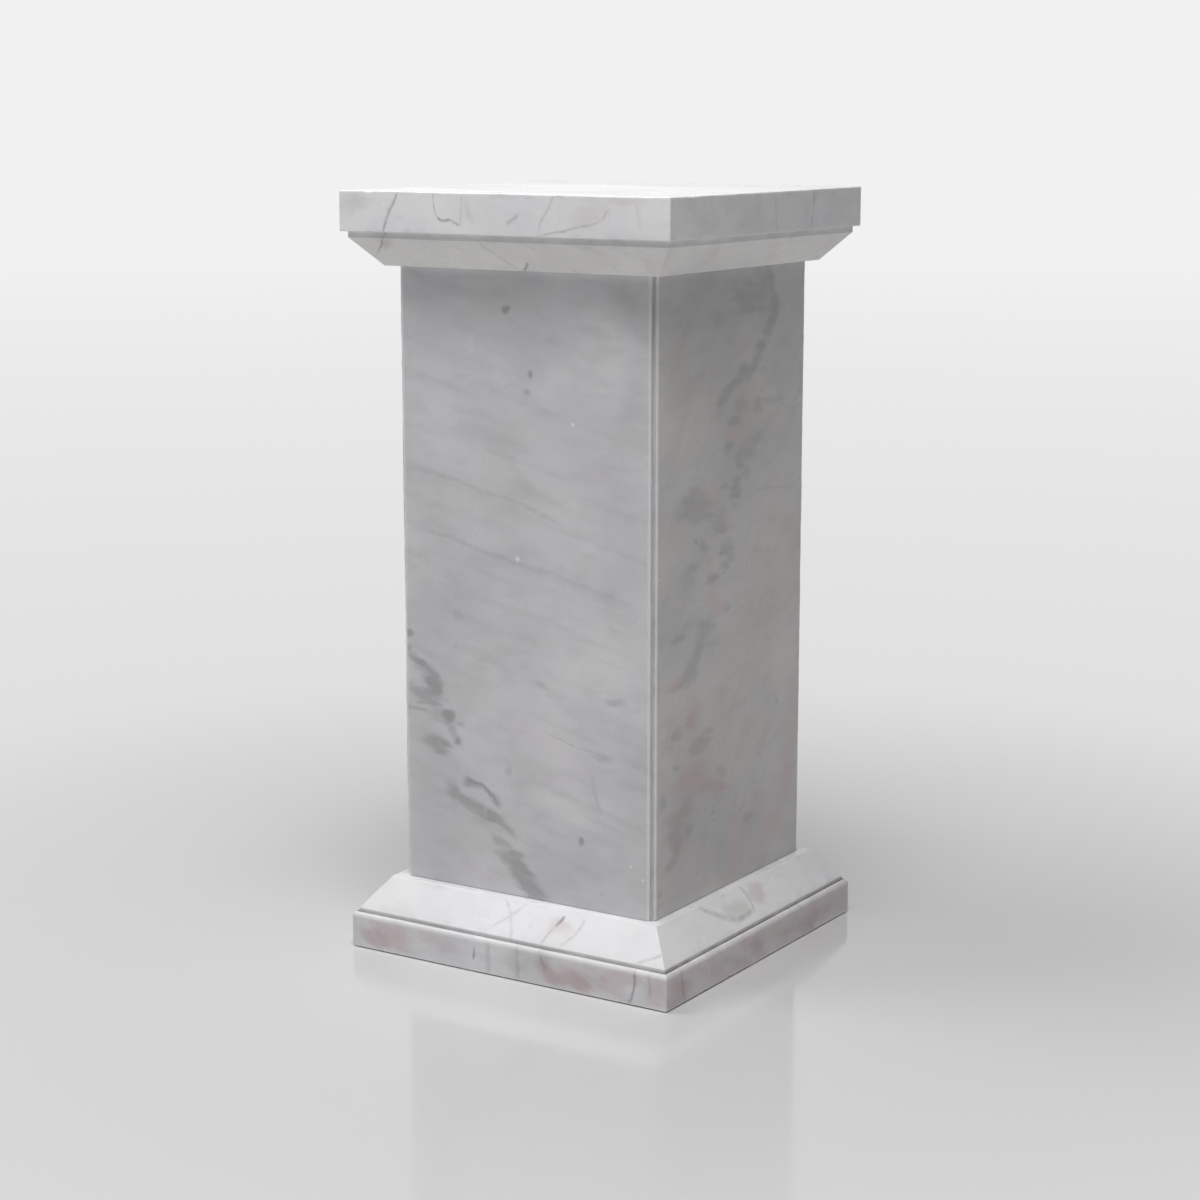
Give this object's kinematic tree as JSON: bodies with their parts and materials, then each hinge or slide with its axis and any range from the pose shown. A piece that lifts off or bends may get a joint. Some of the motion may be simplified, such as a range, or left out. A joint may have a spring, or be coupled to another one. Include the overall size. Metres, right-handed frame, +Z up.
{
  "type": "pedestal column stand",
  "caption": "Square marble pedestal column: moulded base and cap blocks around a hollow shaft of quirk-mitred slabs, to raise a vase, bust, plant or ornament on its flat top.",
  "frame": {"origin": "on the floor under the middle of the base, level with the undersides of the felt pads", "axes": "+Z up along the column; -Y towards the front slab, the wider face in the picture; +X towards the right slab"},
  "size_m": [0.4, 0.4, 0.8156],
  "materials": {
    "polished_marble": "polished, white-grey with grey veins",
    "sawn_marble": "sawn, matt",
    "dowel_steel": "satin",
    "felt": "pressed felt"
  },
  "bodies": {
    "root": {"base": "polished_marble", "shaft_panel_front": "polished_marble", "shaft_panel_right": "polished_marble", "shaft_panel_back": "polished_marble", "shaft_panel_left": "polished_marble", "corner_block_low_front_right": "sawn_marble", "corner_block_low_back_right": "sawn_marble", "corner_block_low_back_left": "sawn_marble", "corner_block_low_front_left": "sawn_marble", "corner_block_middle_front_right": "sawn_marble", "corner_block_middle_back_right": "sawn_marble", "corner_block_middle_back_left": "sawn_marble", "corner_block_middle_front_left": "sawn_marble", "corner_block_high_front_right": "sawn_marble", "corner_block_high_back_right": "sawn_marble", "corner_block_high_back_left": "sawn_marble", "corner_block_high_front_left": "sawn_marble", "dowel_base_front_right": "dowel_steel", "dowel_base_back_right": "dowel_steel", "dowel_base_back_left": "dowel_steel", "dowel_base_front_left": "dowel_steel", "dowel_cap_front_right": "dowel_steel", "dowel_cap_back_right": "dowel_steel", "dowel_cap_back_left": "dowel_steel", "dowel_cap_front_left": "dowel_steel", "cap": "polished_marble", "felt_pad_front_right": "felt", "felt_pad_back_right": "felt", "felt_pad_back_left": "felt", "felt_pad_front_left": "felt"}
  },
  "joints": []
}
